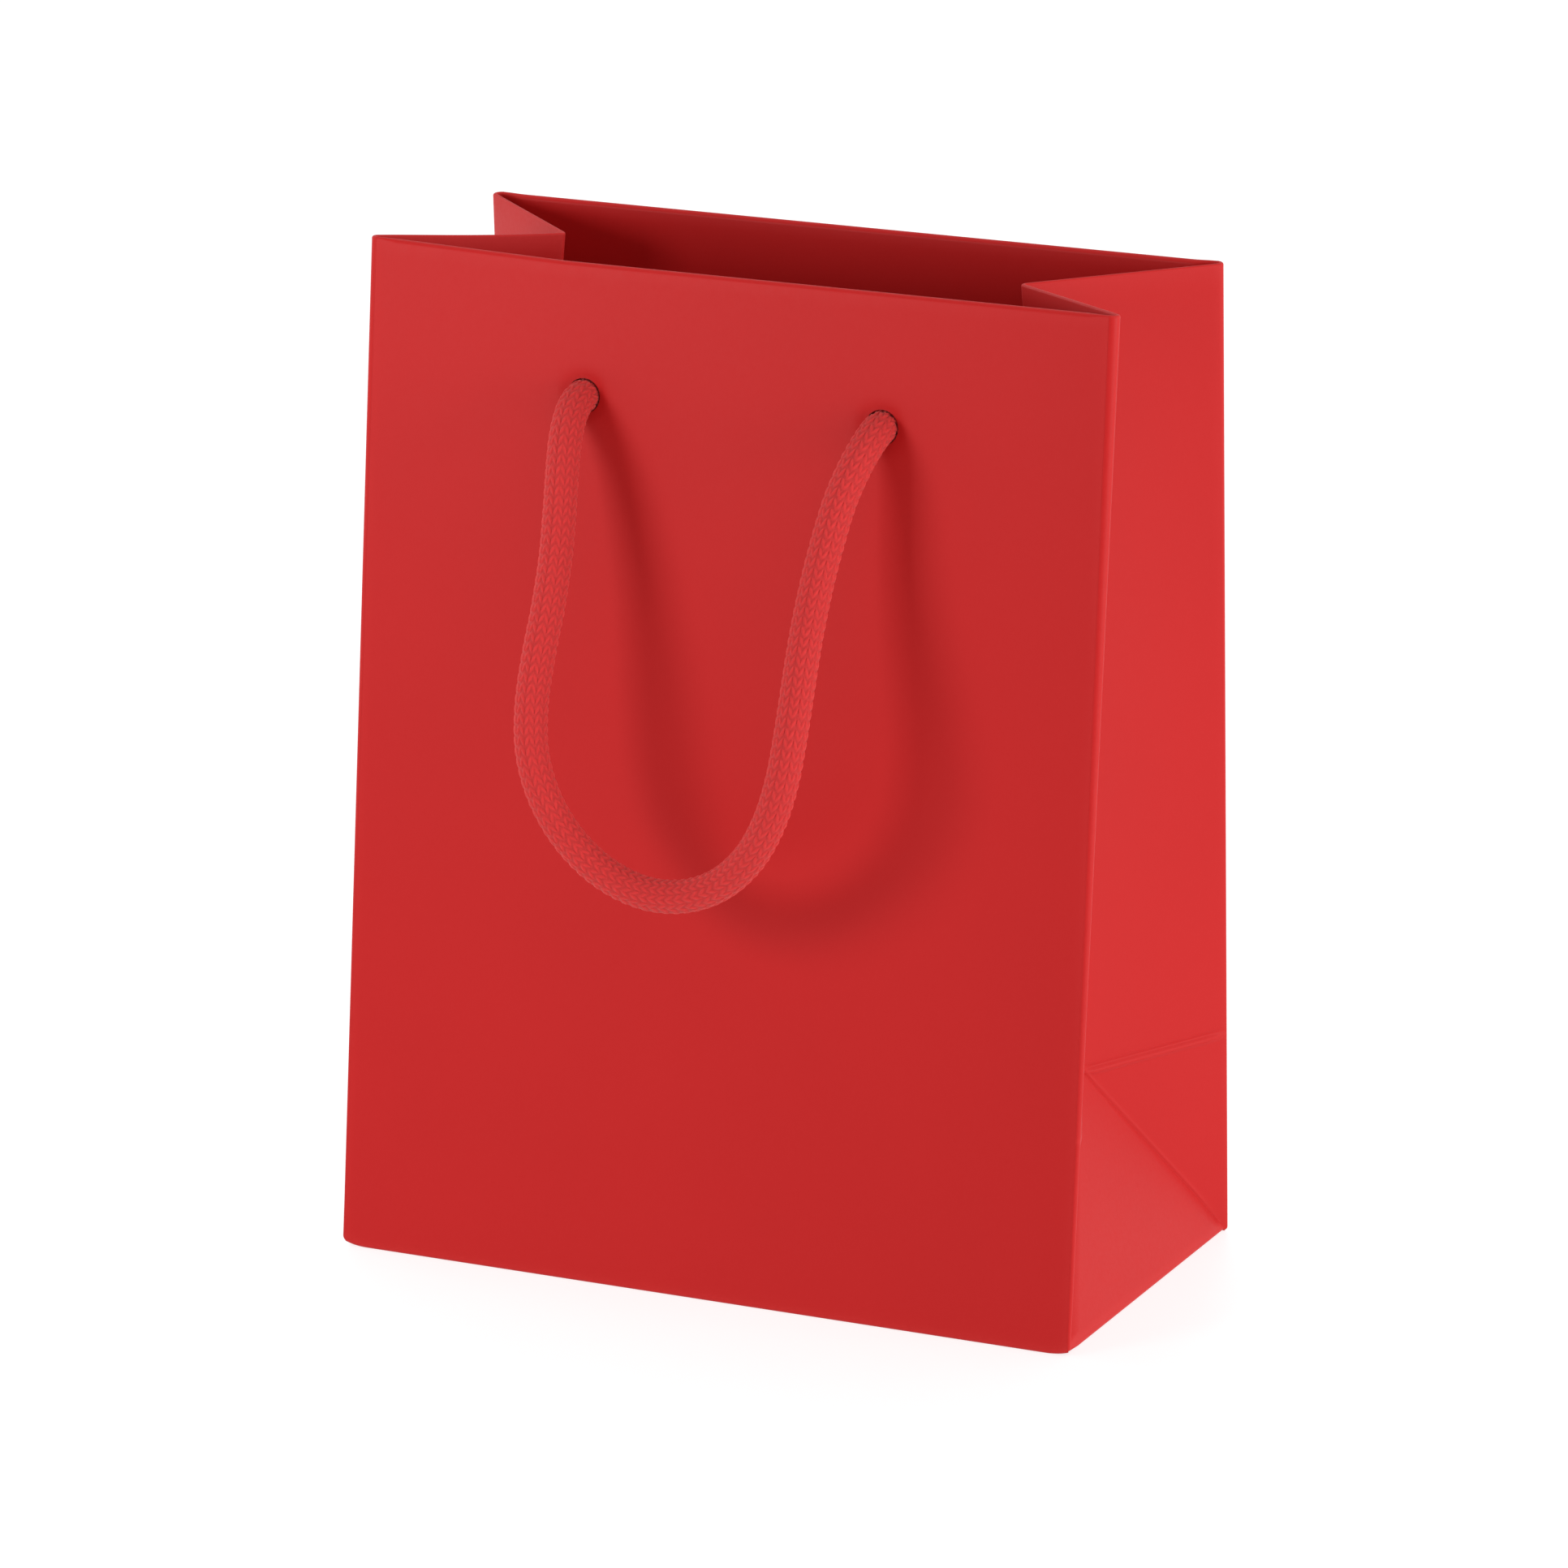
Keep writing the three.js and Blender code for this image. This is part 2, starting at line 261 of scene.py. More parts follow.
def paper_piece(name, points, faces, creased):
    """A piece of paper from its middle surface; creased says where it is worn and painted lighter
    as a highlight along the folds, from 0 to 1.
    """
    points = pressed_corners(points)
    skins, all_faces = thickened(points, faces, PAPER)
    piece = new_piece(name, skins, all_faces.tolist())
    keep_values(piece, "creased", np.concatenate([creased, creased]))
    piece.data.materials.append(bpy.data.materials["red_paper_finish"])
    return piece


# ---- materials ----
class Nodes:
    """A node tree whose nodes are linked as they are made."""

    def __init__(self, tree):
        self.tree = tree

    def node(self, kind, settings=None, **inputs):
        """A node with its settings, and a value or another node's output for each input."""
        made = self.tree.nodes.new(kind)
        for key, value in (settings or {}).items():
            setattr(made, key, value)
        for key, value in inputs.items():
            self.set_input(made, key.replace("_", " "), value)
        return made

    def set_input(self, node, socket, value):
        """Links an output to a socket, or sets its value."""
        if isinstance(value, bpy.types.NodeSocket):
            self.tree.links.new(value, node.inputs[socket])
        else:
            node.inputs[socket].default_value = value

    def noise(self, vector, scale, detail=3.0, roughness=0.5):
        """A noise pattern's value."""
        return self.node("ShaderNodeTexNoise", Vector=vector, Scale=scale, Detail=detail,
                         Roughness=roughness).outputs["Fac"]

    def between(self, value, low, high, new_low, new_high, kind="LINEAR"):
        """A value taken from one range to another, and held inside it."""
        node = self.node("ShaderNodeMapRange", {"interpolation_type": kind}, Value=value)
        for socket, bound in zip(("From Min", "From Max", "To Min", "To Max"),
                                 (low, high, new_low, new_high)):
            node.inputs[socket].default_value = bound
        return node.outputs["Result"]

    def maths(self, operation, first, second, kind="ShaderNodeMath"):
        """Two values, or two vectors, through one operation."""
        node = self.node(kind, {"operation": operation})
        self.set_input(node, 0, first)
        self.set_input(node, 1, second)
        return node.outputs["Value"]

    def mixed(self, share, first, second):
        """A colour between two others."""
        node = self.node("ShaderNodeMix", {"data_type": "RGBA"})
        self.set_input(node, 0, share)
        self.set_input(node, 6, first)
        self.set_input(node, 7, second)
        return node.outputs[2]

    def bump(self, height, distance, strength, under=None):
        """A bump from a height, on top of another if there is one."""
        node = self.node("ShaderNodeBump", Height=height, Distance=distance, Strength=strength)
        if under is not None:
            self.set_input(node, "Normal", under)
        return node.outputs["Normal"]


class Finish(Nodes):
    """A material with its own nodes."""

    def __init__(self, name):
        self.material = bpy.data.materials.new(name)
        self.material.use_nodes = True
        super().__init__(self.material.node_tree)

    def shade(self, **inputs):
        """Sets or links the sockets of the material's shader, and gives the material."""
        for key, value in inputs.items():
            self.set_input(self.tree.nodes["Principled BSDF"], key.replace("_", " "), value)
        return self.material


def opaque(rgb, shade=1.0):
    """A colour with full alpha, darkened or lightened."""
    return (*[channel * shade for channel in rgb], 1.0)


def make_paper_finish(paper):
    """Laminated paper: fine fibre grain under a matt film; rougher where creased, and lighter there
    with wear and a painted highlight.
    """
    finish = Finish("red_paper_finish")
    place = finish.node("ShaderNodeTexCoord").outputs["Object"]
    creased = finish.node("ShaderNodeAttribute", {"attribute_name": "creased"}).outputs["Fac"]
    clouds = finish.noise(place, 22, detail=2)
    fibre_map = finish.node("ShaderNodeMapping", Vector=place, Scale=(1.0, 1.0, 0.35))
    fibres = finish.noise(fibre_map.outputs["Vector"], 2600, detail=4, roughness=0.6)
    speckle = finish.noise(place, 900, detail=2)
    darker = finish.between(clouds, 0.3, 0.7, 0.0, 0.35)
    body = finish.mixed(darker, opaque(paper.sheet_colour), opaque(paper.sheet_colour, 0.93))
    flecked = finish.between(fibres, 0.35, 0.75, 0.0, 0.10)
    body = finish.mixed(flecked, body, opaque(paper.fleck_wear_and_highlight_colour))
    # where creased, a paler colour stands for wear and for a painted highlight along the folds
    crease_wear_and_highlight = finish.maths("MULTIPLY", creased, finish.between(speckle, 0.25, 0.6, 0.35, 0.9))
    body = finish.mixed(crease_wear_and_highlight, body, opaque(paper.fleck_wear_and_highlight_colour))
    film = finish.between(finish.maths("ADD", speckle, creased), 0.3, 1.6, 0.44, 0.60)
    grain = finish.bump(fibres, 0.00004, 0.35)
    relief = finish.bump(clouds, 0.0004, 0.25, under=grain)
    return finish.shade(Base_Color=body, Roughness=film, Normal=relief, Specular_IOR_Level=0.13)


def make_rope_finish(rope):
    """Soft yarn, finely stranded, with a painted highlight on the crowns of the stitches and
    painted shade in the grooves.
    """
    finish = Finish("red_rope_finish")
    unrolled = finish.node("ShaderNodeUVMap", {"uv_map": "around_and_along"}).outputs["UV"]
    crown = finish.node("ShaderNodeAttribute", {"attribute_name": "stitch_height"}).outputs["Fac"]
    strand_map = finish.node("ShaderNodeMapping", Vector=unrolled, Scale=(90.0, 1500.0, 1.0))
    strands = finish.noise(strand_map.outputs["Vector"], 1.0, detail=3, roughness=0.65)
    place = finish.node("ShaderNodeTexCoord").outputs["Object"]
    fluff = finish.noise(place, 1400, detail=3)
    patches = finish.noise(place, 70, detail=2)
    # painted shade: the yarn darkens towards the grooves, and a painted highlight lightens it on
    # the crowns, by stitch height
    groove = finish.mixed(finish.between(crown, 0.15, 0.85, 0.0, 1.0),
                          opaque(rope.yarn_colour, 0.74), opaque(rope.yarn_colour, 1.02))
    pale = finish.between(strands, 0.3, 0.75, 0.0, 0.30)
    yarn = finish.mixed(pale, groove, opaque(rope.strand_colour))
    dull = finish.between(patches, 0.35, 0.7, 0.0, 0.25)
    yarn = finish.mixed(dull, yarn, opaque(rope.yarn_colour, 0.86))
    twist = finish.bump(strands, 0.00018, 0.6)
    fuzz = finish.bump(fluff, 0.00010, 0.5, under=twist)
    return finish.shade(Base_Color=yarn, Normal=fuzz, Roughness=0.86, Sheen_Weight=0.22,
                        Sheen_Roughness=0.45, Sheen_Tint=(1.0, 0.55, 0.5, 1.0))


def make_card_finish():
    """Grey recycled card: flecks of fibre on a dull ground."""
    finish = Finish("grey_card_finish")
    place = finish.node("ShaderNodeTexCoord").outputs["Object"]
    flecks = finish.noise(place, 1300, detail=4, roughness=0.7)
    patches = finish.noise(place, 60, detail=3)
    ground = finish.mixed(patches, (0.30, 0.28, 0.26, 1), (0.23, 0.22, 0.205, 1))
    ground = finish.mixed(finish.between(flecks, 0.5, 0.75, 0, 0.7), ground, (0.42, 0.40, 0.37, 1))
    relief = finish.bump(flecks, 0.00006, 0.5)
    return finish.shade(Base_Color=ground, Roughness=0.88, Normal=relief)


def make_floor_finish():
    """A bright white studio floor with the faintest mottling."""
    finish = Finish("floor_finish")
    place = finish.node("ShaderNodeTexCoord").outputs["Object"]
    mottle = finish.noise(place, 6, detail=2)
    white = finish.mixed(mottle, (0.25, 0.25, 0.25, 1), (0.27, 0.27, 0.27, 1))
    return finish.shade(Base_Color=white, Roughness=0.5,
                        Emission_Color=(1, 1, 1, 1), Emission_Strength=0.76)


# ---- ropes ----
ROPE_END = 0.007  # how far each end of a handle goes in, from the wall's outer face
KNOT_STRAND = 0.0031  # radius of the rope where it is pulled tight in a knot
KNOT_DEPTH = WALL_THICKNESS + 0.0063  # from the wall's outer face to the knot's middle
KNOT_SPREAD = (0.00160, 0.0027)  # size of the knot's curve, across and along its axis
KNOT_TAIL = [(0.0, -0.002, 0.0), (0.0006, -0.0055, 0.0008), (0.0010, -0.0105, 0.0012)]
KNOT_STEP = 0.0004


def smooth_route(points, spacing):
    """A Catmull-Rom curve through the points, then points at even distances along it."""
    points = np.asarray(points, float)
    ends = 2 * points[[0, -1]] - points[[1, -2]]
    knots = np.concatenate([ends[:1], points, ends[1:]])
    share = np.linspace(0, 1, 40, endpoint=False)[None, :, None]
    before, here, there, after = (knots[i:len(knots) - 3 + i, None] for i in range(4))
    curve = 0.5 * (2 * here + (there - before) * share
                   + (2 * before - 5 * here + 4 * there - after) * share ** 2
                   + (3 * here - before - 3 * there + after) * share ** 3)
    curve = np.concatenate([curve.reshape(-1, 3), points[-1:]])
    return evenly_spaced(curve, spacing)


def distances(line):
    """How far along a line each of its points is."""
    return np.concatenate([[0], np.cumsum(np.linalg.norm(np.diff(line, axis=0), axis=1))])


def evenly_spaced(curve, spacing):
    """Points at even distances along a line of many short steps."""
    walked = distances(curve)
    stations = np.linspace(0, walked[-1], int(round(walked[-1] / spacing)) + 1)
    return np.stack([np.interp(stations, walked, curve[:, axis]) for axis in range(3)], axis=1)


def stitch_height(around, along, columns, pitch):
    """How high the yarn stands, from 0 to 1, at a turn round the rope and a distance along it.

    Each column is a chain of V stitches: cos^2 ridges that climb from the column's middle to its
    edges, with a groove where the two legs meet and a deeper one between columns.
    """
    across = np.abs(2 * ((around * columns) % 1.0) - 1)
    ridge = 0.5 + 0.5 * np.cos(2 * np.pi * (along / pitch + 0.8 * across))
    middle = 0.40 * np.exp(-(across / 0.16) ** 2)
    edge = 0.75 * np.exp(-((1 - across) / 0.18) ** 2)
    return np.clip(ridge ** 0.7 * (1 - middle) * (1 - edge), 0, 1)


def rope_tube(name, route, rope, radius, facing, columns, per_column):
    """A rope: a ring of points round each point of the route, pushed in where the stitches dip.

    facing is a direction that the route never runs along; the rings' frames follow from it.
    """
    sides = columns * per_column
    tangent = np.gradient(route, axis=0)
    tangent /= np.linalg.norm(tangent, axis=1, keepdims=True)
    side = facing - tangent * (tangent @ facing)[:, None]
    side /= np.linalg.norm(side, axis=1, keepdims=True)
    up = np.cross(tangent, side)
    walked = distances(route)
    around = np.arange(sides) / sides
    turn = 2 * np.pi * around[None, :, None]
    height = stitch_height(around[None, :], walked[:, None], columns, rope.pitch)
    reach = (radius - rope.relief * (1 - height))[..., None]
    rings = route[:, None] + reach * (np.cos(turn) * side[:, None] + np.sin(turn) * up[:, None])
    points = np.concatenate([rings.reshape(-1, 3), route[[0, -1]]])
    rows, ring = len(route), np.arange(sides)
    following = (ring + 1) % sides
    first, last = rows * sides, rows * sides + 1
    caps = [(first, int(b), int(a)) for a, b in zip(ring, following)]
    top = (rows - 1) * sides
    caps += [(last, int(a), int(b)) for a, b in zip(top + ring, top + following)]
    piece = new_piece(name, points, grid_faces(rows, sides, closed=True).tolist() + caps, 60)
    keep_values(piece, "stitch_height", np.concatenate([height.ravel(), [0.5, 0.5]]))
    unroll_tube(piece, rows, sides, walked)
    piece.data.materials.append(bpy.data.materials["red_rope_finish"])
    return piece


def unroll_tube(piece, rows, sides, walked):
    """The tube's own map: u is the share of a turn and v the distance along, in metres."""
    row = np.repeat(np.arange(rows - 1), sides)
    column = np.tile(np.arange(sides), rows - 1)
    u = np.stack([column, column + 1, column + 1, column], axis=1) / sides
    v = walked[np.stack([row, row, row + 1, row + 1], axis=1)]
    caps = np.zeros((len(piece.data.loops) - 4 * len(row), 2))
    layer = piece.data.uv_layers.new(name="around_and_along")
    flat = np.concatenate([np.stack([u, v], axis=-1).reshape(-1, 2), caps])
    layer.data.foreach_set("uv", flat.astype(np.float32).ravel())


def on_wall(across, up, depth):
    """Points of the front wall: across the bag, up its slope and in from its outer face."""
    across, up, depth = np.broadcast_arrays(across, up, depth)
    y = -HALF_DEPTH + up * math.sin(LEAN) + depth * math.cos(LEAN)
    return np.stack([across, y, up * math.cos(LEAN) - depth * math.sin(LEAN)], axis=-1)


def handle_route():
    """The front handle's points: from inside one knot, out through its hole and back again."""
    in_wall = [on_wall(HOLE_SPACING / 2, HOLE_UP, depth) for depth in (ROPE_END, 0.001)]
    right = np.array([*in_wall, *ROPE_LEG], float)
    left = right[::-1] * np.array([-1.0, 1.0, 1.0])
    return np.concatenate([right, left])


def make_handle(wall, turned, rope):
    """One handle's rope, bending where it leaves the wall; also its route and its exit."""
    route = half_turned(smooth_route(handle_route(), rope.pitch / 7), turned)
    facing = np.array([0.0, 0.94 if turned else -0.94, 0.35])
    piece = rope_tube(f"{wall}_rope", route, rope, rope.diameter / 2, facing, rope.columns, 8)
    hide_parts(f"{wall}_rope_handle")
    start = on_wall(0.0, HOLE_UP, 0.0)
    start = half_turned(start, turned)
    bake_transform(piece)
    exit_point = half_turned(on_wall(HOLE_SPACING / 2, HOLE_UP, 0.0), turned)
    return piece, route, tuple(float(value) for value in exit_point)


def knot_route():
    """An overhand knot: (sin t + 2 sin 2t, cos t - 2 cos 2t) across, -sin 3t along its axis."""
    turn = np.linspace(0.35, 2 * np.pi + 0.05, 400)
    across, along = KNOT_SPREAD
    x = across * (np.sin(turn) + 2 * np.sin(2 * turn))
    y = across * (np.cos(turn) - 2 * np.cos(2 * turn))
    return evenly_spaced(np.stack([x, y, along * -np.sin(3 * turn)], axis=1), KNOT_STEP)


def make_knot(wall, side, turned, rope):
    """One tied rope end inside the wall, pulled tight against its hem, with its tail below."""
    name = f"{wall}_{side}_rope_knot"
    across = HOLE_SPACING / 2 * (1 if (side == "right") != turned else -1)
    facing = np.array([0.35, -0.9, 0.25])
    parts = []
    for label, line in (("", knot_route()), ("_tail", smooth_route(KNOT_TAIL, KNOT_STEP))):
        route = on_wall(across + line[:, 0], HOLE_UP + line[:, 1], KNOT_DEPTH + line[:, 2])
        route = half_turned(route, turned)
        parts.append(rope_tube(name + label, route, rope, KNOT_STRAND, facing, 8, 6))
        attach(parts[-1], f"{wall}_wall")
    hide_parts(f"{wall}_{side}_knot")
    return parts


# ---- walls ----
BOTTOM_RADIUS = 0.0008
BOTTOM_START = 0.0010  # where the bottom fold ends and the flat face begins, up the slope
SOLE = BOTTOM_START - BOTTOM_RADIUS  # the lowest height of the paper's middle surface
BOARD_MARGIN = 0.006  # from the rim board's ends to the bag's sides
BOARD_FOLD_RADIUS = 0.000875  # of the rim's fold where it goes over the board
PLAIN_FOLD_RADIUS = 0.000325  # of the rim's fold where there is no board in it
BOARD_DROP = 0.0335  # from the rim down past the board's lower edge
HEM_GAP = 0.0005  # how much shorter the hem is than the hem height, for its fold
CLOSED_GAP = PAPER * 1.15  # between the middle surfaces of a face and the hem glued to it
HOLE_RADIUS = 0.0040
DENT, DENT_WIDTH = 0.00035, 0.0014  # how far the rope pulls the paper in round a hole
FOLD_START = 0.055  # how far out the face begins to draw in towards its upright fold
BLOCK = 0.008  # half the square round each hole that is meshed in rings
FACE_END = PANEL_LENGTH - BOARD_FOLD_RADIUS - BOTTOM_START  # where the face ends at the rim's fold
RIM_END = FACE_END + math.pi * BOARD_FOLD_RADIUS  # where the rim's fold ends and the hem starts
RIM_RISE = 0.0013  # how much higher the paper stands at the front left, where it is cut unevenly
RISE_START = 0.042


def rim_rise(points, share=1.0):
    """Points raised towards the front left corner of the rim, evenly across and as height^4."""
    across = np.clip((-points[..., 0] - RISE_START) / (HALF_WIDTH - RISE_START), 0, 1)
    up = np.clip(points[..., 2] / RIM_HEIGHT, 0, 1) ** 4
    raised = points.copy()
    raised[..., 2] += RIM_RISE * across * up * share
    return raised


def upright_radius(paper, height):
    """Radius of an upright fold, which grows evenly from the ground to the rim."""
    share = np.clip(height / RIM_HEIGHT, 0, 1)
    return paper.fold_radius_foot + (paper.fold_radius_rim - paper.fold_radius_foot) * share


def wall_surface(across, walked, paper):
    """The folded wall's middle surface, from its bottom crease to the end of its hem.

    walked runs up the outer face from 0 and below 0 round the bottom crease. Past the face it
    goes half round the rim's fold, then down the hem, which closes on the face below the board.
    """
    near_side = smoothstep(np.abs(across), HALF_WIDTH - BOARD_MARGIN, HALF_WIDTH - 0.0005)
    radius = BOARD_FOLD_RADIUS + (PLAIN_FOLD_RADIUS - BOARD_FOLD_RADIUS) * near_side
    rim_turn = np.pi * np.clip((walked - FACE_END) / (np.pi * BOARD_FOLD_RADIUS), 0, 1)
    fall = np.clip(walked - FACE_END - np.pi * BOARD_FOLD_RADIUS, 0, None)
    foot_turn = np.clip(walked / BOTTOM_RADIUS, -np.pi / 2, 0)
    climb = np.clip(walked, 0, FACE_END) / FACE_END * (PANEL_LENGTH - radius - BOTTOM_START)
    up = BOTTOM_START + climb + BOTTOM_RADIUS * np.sin(foot_turn) + radius * np.sin(rim_turn) - fall
    closing = smoothstep(fall, BOARD_DROP - 0.001, paper.hem_height - 0.001)
    depth = PAPER / 2 + BOTTOM_RADIUS * (1 - np.cos(foot_turn)) + radius * (1 - np.cos(rim_turn))
    depth = depth + (CLOSED_GAP - 2 * radius) * closing * (fall > 0)
    from_hole = np.hypot(np.abs(across) - HOLE_SPACING / 2, up - HOLE_UP)
    dent = DENT * np.exp(-((from_hole - HOLE_RADIUS) / DENT_WIDTH) ** 2)
    depth = depth + dent * (walked < FACE_END)
    edge = smoothstep(np.abs(across), FOLD_START, HALF_WIDTH - PAPER / 2)
    across = across - np.sign(across) * upright_radius(paper, up) * edge
    return on_wall(across, up, depth)


def hole_rings(columns, rows, middle, radius):
    """Rings from a square block's outline in to a round hole, as points and quads.

    Each ring is the outline moved a share of the way to the circle, towards the middle.
    """
    edges = [(columns[:-1], rows[0]), (columns[-1], rows[:-1]),
             (columns[:0:-1], rows[-1]), (columns[0], rows[:0:-1])]
    edges = [np.stack(np.broadcast_arrays(x, y), axis=1) for x, y in edges]
    outline = np.concatenate(edges) - middle
    shares = np.array([0.0, 0.35, 0.6, 0.78, 0.9, 1.0])[:, None, None]
    circle = outline * radius / np.linalg.norm(outline, axis=1, keepdims=True)
    rings = middle + outline * (1 - shares) + circle * shares
    return rings.reshape(-1, 2), grid_faces(len(shares), len(outline), closed=True)


def wall_sheet(paper):
    """The wall laid out flat: across and walked for each point, and quads round four holes."""
    hole = HOLE_UP - BOTTOM_START
    hem_hole = RIM_END + (PANEL_LENGTH - BOARD_FOLD_RADIUS) - HOLE_UP
    half = HOLE_SPACING / 2
    margin = HALF_WIDTH - BOARD_MARGIN
    positive = joined((half - BLOCK, half + BLOCK, 8), (half + BLOCK, margin, 14),
                      (margin, HALF_WIDTH - PAPER / 2, 10))
    middle = joined((BLOCK - half, half - BLOCK, 14))
    columns = np.concatenate([-positive[:0:-1], middle, positive[1:]])
    rows = joined((-BOTTOM_RADIUS * np.pi / 2, 0, 5), (0, 0.010, 6), (0.010, hole - BLOCK, 46),
                  (hole - BLOCK, hole + BLOCK, 8), (hole + BLOCK, FACE_END, 8),
                  (FACE_END, RIM_END, 10), (RIM_END, hem_hole - BLOCK, 8),
                  (hem_hole - BLOCK, hem_hole + BLOCK, 8),
                  (hem_hole + BLOCK, RIM_END + paper.hem_height - HEM_GAP, 12))
    points = np.stack(np.meshgrid(columns, rows), axis=-1).reshape(-1, 2)
    faces = grid_faces(len(rows), len(columns))
    centres = points[faces].mean(axis=1)
    all_points, all_faces = [points], []
    outside = np.ones(len(faces), bool)
    count = len(points)
    for side in (-1, 1):
        for level in (hole, hem_hole):
            middle_point = np.array([side * half, level])
            outside &= np.abs(centres - middle_point).max(axis=1) > BLOCK
            near_x = columns[np.abs(columns - middle_point[0]) < BLOCK + 1e-6]
            near_y = rows[np.abs(rows - middle_point[1]) < BLOCK + 1e-6]
            ring_points, ring_faces = hole_rings(near_x, near_y, middle_point, HOLE_RADIUS)
            all_points.append(ring_points)
            all_faces.append(ring_faces + count)
            count += len(ring_points)
    merged = np.concatenate(all_points)
    quads = np.concatenate([faces[outside], *all_faces])
    rounded = np.round(merged, 7)
    _, first, shared = np.unique(rounded, axis=0, return_index=True, return_inverse=True)
    return merged[first], shared.reshape(-1)[quads]


def make_wall(wall, turned, paper):
    """One wall: face, rim fold and hem in one piece of paper."""
    flat, faces = wall_sheet(paper)
    across, walked = flat[:, 0], flat[:, 1]
    points = wall_surface(across, walked, paper)
    used = np.unique(faces)
    renumbered = np.zeros(len(points), int)
    renumbered[used] = np.arange(len(used))
    # creased marks the rim fold, the bottom crease and the upright folds: wear plus a painted
    # highlight of the rounded folds
    at_rim = np.exp(-((walked - (FACE_END + RIM_END) / 2) / 0.0022) ** 2)
    at_foot = np.exp(-(walked / 0.0012) ** 2)
    at_side = np.exp(-((np.abs(across) - HALF_WIDTH) / 0.0014) ** 2)
    creased = np.clip(0.25 * at_rim + 0.4 * at_foot + 0.25 * at_side, 0, 1)
    points = half_turned(points) if turned else rim_rise(points)
    piece = paper_piece(f"{wall}_wall_paper", points[used], renumbered[faces], creased[used])
    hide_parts(f"{wall}_panel", f"{wall}_hem")
    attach(piece, f"{wall}_wall")


# ---- gussets ----
CREASE_HEIGHT = HALF_DEPTH  # where the cross crease meets the upright folds
CORNER_STEPS, MIDDLE_STEPS = 12, 8
FIRST_RISE = 0.030  # how far up the diagonals the first rows are, as a share
FLAT_SHARES = joined((0, 0.88, 20), (0.88, 1, 14))
CROSS_CREASE = (0.00034, 0.00030, 0.0006)  # its ridge's height, its groove's depth, their width
DIAGONAL_CREASE = (0.00018, 0.0011, 0.00042)  # its ridge's height, distance from the fold, width


def fold_point(fold, end):
    """A point of a gusset's middle fold, with the gusset on the right."""
    inward, behind, height = fold[end]
    return np.array([HALF_WIDTH - inward, behind, height])


def diagonal_points(foot, side, rise):
    """Points up a diagonal crease, straight from beside the bag's bottom corner to the foot.

    rise is a column of shares of the way in plan; height grows evenly from the first of them.
    """
    corner = np.array([HALF_WIDTH - PAPER / 2, side * (HALF_DEPTH - PAPER / 2), 0.0])
    points = corner + (foot - corner) * rise
    points[:, 2:] = BOTTOM_START + (foot[2] - BOTTOM_START) * (rise - FIRST_RISE) / (1 - FIRST_RISE)
    return points


def half_rows(fold, paper, mirrored):
    """Rows up one half: foot, side, over the rim's fold and down the hem.

    Gives for each row the upright fold's height, the middle fold's point and radius, how far
    the paper has gone in from the outer skin, and which of the four parts the row is in.
    """
    foot, rim = fold_point(fold, "foot"), fold_point(fold, "rim")
    if mirrored:
        foot[1], rim[1] = -foot[1], -rim[1]
    radius = PLAIN_FOLD_RADIUS
    rim[2] -= radius + PAPER / 2
    rim_level = RIM_HEIGHT - radius
    hem_length = paper.hem_height - HEM_GAP
    rise = joined((FIRST_RISE, 0.93, 15), (0.93, 1.0, 14))[:, None]
    climb = joined((0, 0.020, 14), (0.020, 1, 40))[1:, None]
    bend = np.linspace(0, np.pi, 9)[1:, None]
    hem = np.linspace(0, 1, 9)[1:, None]
    steps = [len(part) for part in (rise, climb, bend, hem)]
    heights = np.concatenate([
        BOTTOM_START + (CREASE_HEIGHT - BOTTOM_START) * (rise - rise[0]) / (1 - rise[0]),
        CREASE_HEIGHT + (rim_level - CREASE_HEIGHT) * climb,
        rim_level + radius * np.sin(bend),
        rim_level - hem_length * hem])[:, 0]
    middles = np.concatenate([
        diagonal_points(foot, -1, rise),
        foot + (rim - foot) * climb,
        rim + np.array([0, 0, 1]) * radius * np.sin(bend),
        rim + (foot - rim) * hem * hem_length / (rim[2] - foot[2])])
    radii = np.ones(sum(steps))
    radii[:steps[0]] = 0.15 + 0.85 * rise[:, 0]
    inward = np.concatenate([
        0 * rise, 0 * climb, radius * (1 - np.cos(bend)), 2 * radius + 0 * hem])[:, 0]
    stage = np.repeat([0, 1, 2, 3], steps)
    return heights, middles, radii * paper.middle_fold_radius, inward, stage


def half_frames(heights, middles, radii, paper):
    """Each row's two fold circles and the direction that its flat run faces.

    The flat run touches the upright fold's circle on its outside and the middle fold's on its
    inside, so the angle between its normal and the line of centres has cosine (r + m) / distance.
    """
    round_radius = upright_radius(paper, heights)
    skin = -HALF_DEPTH + heights * math.tan(LEAN) + PAPER / 2 / math.cos(LEAN)
    corner = np.stack([HALF_WIDTH - PAPER / 2 - round_radius, skin + round_radius], axis=1)
    middle = np.stack([middles[:, 0] + radii, middles[:, 1]], axis=1)
    between = middle - corner
    distance = np.hypot(between[:, 0], between[:, 1])
    facing = np.arctan2(between[:, 1], between[:, 0]) - np.arccos((round_radius + radii) / distance)
    return round_radius, corner, middle, facing


